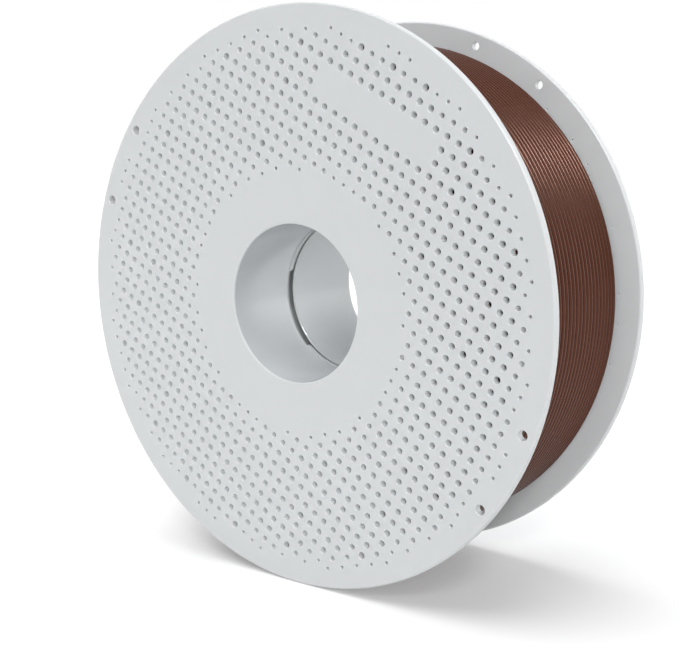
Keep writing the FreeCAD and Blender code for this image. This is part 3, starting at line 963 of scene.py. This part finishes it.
class SPOOL_OT_stage(bpy.types.Operator):
    """Set the white floor, the surroundings, the lamps and the camera"""

    bl_idname = "spool.stage"
    bl_label = "Stage"

    def execute(self, context):
        stage = context.scene.spool_stage
        self.floor(stage)
        self.surroundings(stage)
        self.lamp("key_light", stage.key_light, stage.key_spread, stage.key_from)
        glints = self.lamp("glint_light", stage.glint_light, stage.key_spread, stage.key_from)
        glints.visible_diffuse, glints.visible_glossy = False, True
        self.lamp("fill_light", stage.fill_light, stage.fill_spread, stage.fill_from)
        self.lamp("top_light", stage.top_light, stage.top_spread, stage.top_from)
        self.lamp("back_light", stage.back_light, stage.back_spread, stage.back_from)
        self.camera(stage)
        context.scene.view_settings.view_transform = "Standard"
        return {"FINISHED"}

    def floor(self, stage):
        """A wide white floor that keeps the soft shadow."""
        reach = 6.0
        mesh = bpy.data.meshes.new("floor")
        mesh.from_pydata([(-reach, -reach, FLOOR_Z), (reach, -reach, FLOOR_Z),
                          (reach, reach, FLOOR_Z), (-reach, reach, FLOOR_Z)], [], [(0, 1, 2, 3)])
        floor = bpy.data.objects.new("floor", mesh)
        bpy.context.scene.collection.objects.link(floor)
        material, tree = new_material("white_floor")
        plainly = seen_plainly(tree)
        tone = add_node(tree, "ShaderNodeMix",
                        {"Factor": plainly, "A": linear(stage.floor_bounce),
                         "B": linear(stage.floor)}, data_type="RGBA")
        shade = add_node(tree, "ShaderNodeBsdfDiffuse", {"Color": tone.outputs["Result"]})
        glow = add_node(tree, "ShaderNodeEmission",
                        {"Color": linear(stage.floor_glow), "Strength": plainly})
        both = add_node(tree, "ShaderNodeAddShader",
                        {0: shade.outputs["BSDF"], 1: glow.outputs["Emission"]})
        add_node(tree, "ShaderNodeOutputMaterial", {"Surface": both.outputs["Shader"]})
        mesh.materials.append(material)

    def surroundings(self, stage):
        """White behind the object, and light grey studio walls for everything else."""
        world = bpy.data.worlds.new("studio")
        world.use_nodes = True
        tree = world.node_tree
        tree.nodes.clear()
        where = add_node(tree, "ShaderNodeTexCoord").outputs["Generated"]
        toward = add_node(tree, "ShaderNodeSeparateXYZ", {"Vector": where}).outputs
        rise = add_node(tree, "ShaderNodeMapRange",
                        {"Value": toward["Z"], "From Min": 0.15, "From Max": 0.75})
        behind = add_node(tree, "ShaderNodeMapRange",
                          {"Value": toward["Y"], "From Min": 0.1, "From Max": 0.8})
        walls = add_node(tree, "ShaderNodeMix",
                         {"Factor": behind.outputs["Result"], "A": linear(stage.walls),
                          "B": [level * stage.backdrop_light
                                for level in linear(stage.backdrop)]}, data_type="RGBA")
        studio = add_node(tree, "ShaderNodeMix",
                          {"Factor": rise.outputs["Result"], "A": walls.outputs["Result"],
                           "B": linear(stage.zenith)}, data_type="RGBA")
        path = add_node(tree, "ShaderNodeLightPath")
        tint = add_node(tree, "ShaderNodeMix",
                        {"Factor": path.outputs["Is Camera Ray"], "A": studio.outputs["Result"],
                         "B": (1.0, 1.0, 1.0, 1.0)}, data_type="RGBA")
        glow = add_node(tree, "ShaderNodeBackground",
                        {"Color": tint.outputs["Result"], "Strength": 1.0})
        add_node(tree, "ShaderNodeOutputWorld", {"Surface": glow.outputs["Background"]})
        bpy.context.scene.world = world

    def lamp(self, name, energy, spread, toward):
        """A parallel light without reflections, which leaves the floor evenly bright."""
        data = bpy.data.lights.new(name, "SUN")
        data.energy = energy
        data.angle = spread
        lamp = bpy.data.objects.new(name, data)
        lamp.rotation_euler = Vector(toward).to_track_quat("Z", "Y").to_euler()
        lamp.visible_glossy = False
        bpy.context.scene.collection.objects.link(lamp)
        return lamp

    def camera(self, stage):
        """The photograph's view."""
        data = bpy.data.cameras.new("camera")
        data.lens = stage.lens
        data.shift_x, data.shift_y = stage.shift
        data.clip_start = 0.01
        camera = bpy.data.objects.new("camera", data)
        camera.location = stage.camera_at
        camera.rotation_euler = (math.pi / 2 - stage.tilt, 0.0, stage.azimuth)
        bpy.context.scene.collection.objects.link(camera)
        bpy.context.scene.camera = camera


class SPOOL_PT_panel(bpy.types.Panel):
    """Lists the spool's pieces in the sidebar"""

    bl_idname = "SPOOL_PT_panel"
    bl_label = "Filament spool"
    bl_space_type = "VIEW_3D"
    bl_region_type = "UI"
    bl_category = "Spool"

    def draw(self, context):
        for operator in OPERATORS:
            self.layout.operator(operator.bl_idname)


SETTINGS = {
    "spool_moulding": SpoolMouldingSettings,
    "spool_perforation": PerforationSettings,
    "spool_winding": WindingSettings,
    "spool_stage": StageSettings,
}
OPERATORS = (
    SPOOL_OT_front_moulding,
    SPOOL_OT_rear_moulding,
    SPOOL_OT_refill_core,
    SPOOL_OT_filament,
    SPOOL_OT_stage,
)
CLASSES = (*SETTINGS.values(), *OPERATORS, SPOOL_PT_panel)


def register():
    """Register the settings, the operators and the panel."""
    for item in CLASSES:
        bpy.utils.register_class(item)
    for name, group in SETTINGS.items():
        setattr(bpy.types.Scene, name, PointerProperty(type=group))


def unregister():
    """Take them off again."""
    for name in SETTINGS:
        delattr(bpy.types.Scene, name)
    for item in reversed(CLASSES):
        bpy.utils.unregister_class(item)


def main():
    """Build every piece and the stage."""
    register()
    bpy.ops.spool.front_moulding()
    bpy.ops.spool.rear_moulding()
    bpy.ops.spool.refill_core()
    bpy.ops.spool.filament()
    bpy.ops.spool.stage()


if __name__ == "__main__":
    main()
